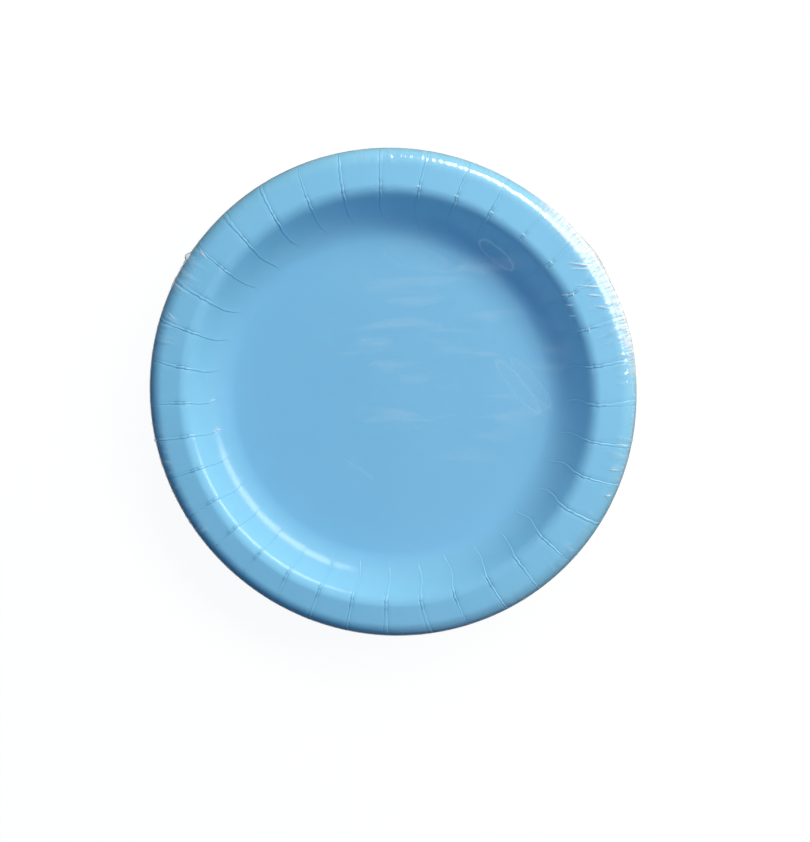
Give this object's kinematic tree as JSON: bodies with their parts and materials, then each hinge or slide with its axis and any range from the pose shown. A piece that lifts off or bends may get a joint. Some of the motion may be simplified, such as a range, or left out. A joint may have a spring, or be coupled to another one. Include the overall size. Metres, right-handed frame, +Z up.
{
  "type": "stack of paper plates",
  "caption": "Nested stack of round paper plates with flat floors, pleated sloping walls and rolled-down rims, sealed in clear shrink film.",
  "frame": {"origin": "centre of the wrapped stack's underside", "axes": "+Z up along the axis of the plates; +X to the right and +Y to the top of the picture"},
  "size_m": [0.2284, 0.2284, 0.0346],
  "materials": {
    "board": "coated paper board, baby blue, satin gloss",
    "film": "clear thin shrink film, glossy"
  },
  "bodies": {
    "root": {"plate_01": "board", "plate_02": "board", "plate_03": "board", "plate_04": "board", "plate_05": "board", "plate_06": "board", "plate_07": "board", "plate_08": "board", "plate_09": "board", "plate_10": "board", "plate_11": "board", "plate_12": "board", "plate_13": "board", "plate_14": "board", "plate_15": "board", "plate_16": "board", "shrink_film": "film"}
  },
  "joints": []
}
